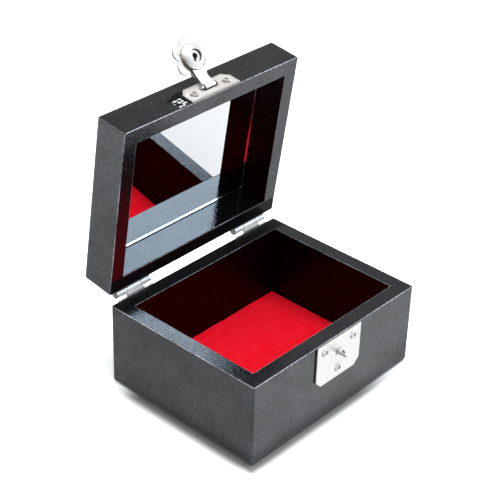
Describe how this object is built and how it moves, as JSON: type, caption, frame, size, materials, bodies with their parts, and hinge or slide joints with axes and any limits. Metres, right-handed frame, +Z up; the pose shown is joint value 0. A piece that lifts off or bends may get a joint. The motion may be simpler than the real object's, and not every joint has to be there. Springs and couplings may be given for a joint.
{
  "type": "jewellery box",
  "caption": "Small rectangular lacquered jewellery box with a mirror in its hinged lid, a red felt floor, and a folding clasp with a turning rosette knob.",
  "frame": {"origin": "centre of the flat underside, on the surface the box stands on", "axes": "+Z up; -Y towards the clasp (front), +Y towards the hinges; +X to the right seen from the front"},
  "size_m": [0.105, 0.1064, 0.1475],
  "materials": {
    "black_lacquer": "black lacquer, slightly uneven, semi-gloss; maroon-black inside",
    "red_felt": "short red felt",
    "mirror": "silvered glass",
    "adhesive": "matt glue film",
    "mother_of_pearl": "iridescent shell",
    "plated_screws": "bright nickel plate",
    "plated_steel": "bright nickel plate with a fine grain"
  },
  "bodies": {
    "base": {"base_front_wall": "black_lacquer", "base_back_wall": "black_lacquer", "base_left_wall": "black_lacquer", "base_right_wall": "black_lacquer", "base_bottom_board": "black_lacquer", "felt_floor_pad": "red_felt", "catch_plate": "plated_steel", "catch_plate_screws": "plated_screws", "catch_pin": "plated_steel", "hinge_base_leaf_left": "plated_steel", "hinge_base_leaf_right": "plated_steel", "hinge_base_screws": "plated_screws", "hinge_pin_left": "plated_steel", "hinge_pin_right": "plated_steel"},
    "lid": {"lid_front_wall": "black_lacquer", "lid_back_wall": "black_lacquer", "lid_left_wall": "black_lacquer", "lid_right_wall": "black_lacquer", "lid_top_board": "black_lacquer", "mirror_glass": "mirror", "mirror_adhesive": "adhesive", "hinge_lid_leaf_left": "plated_steel", "hinge_lid_leaf_right": "plated_steel", "hinge_lid_screws": "plated_screws", "hasp_plate": "plated_steel", "hasp_plate_screws": "plated_screws", "hasp_pin": "plated_steel", "pearl_chips_front": "mother_of_pearl", "pearl_inlay_top": "mother_of_pearl"},
    "strap": {"hasp_strap": "plated_steel", "lock_drum": "plated_steel"},
    "knob": {"lock_cam": "plated_steel", "rosette_knob": "plated_steel"}
  },
  "joints": [
    {"name": "lid_hinge", "type": "hinge", "parent": "base", "child": "lid", "pos_m": [0, 0.04485, 0.0426], "axis": [1, 0, 0], "range_deg": [0, 82]},
    {"name": "strap_hinge", "type": "hinge", "parent": "lid", "child": "strap", "pos_m": [0.0005, 0.03576, 0.13029], "axis": [1, 0, 0], "range_deg": [0, 134.5]},
    {"name": "knob_turn", "type": "hinge", "parent": "strap", "child": "knob", "pos_m": [0.0005, 0.04254, 0.14198], "axis": [0, -0.8039, 0.5948], "range_deg": [-61.3, 28.7]}
  ]
}
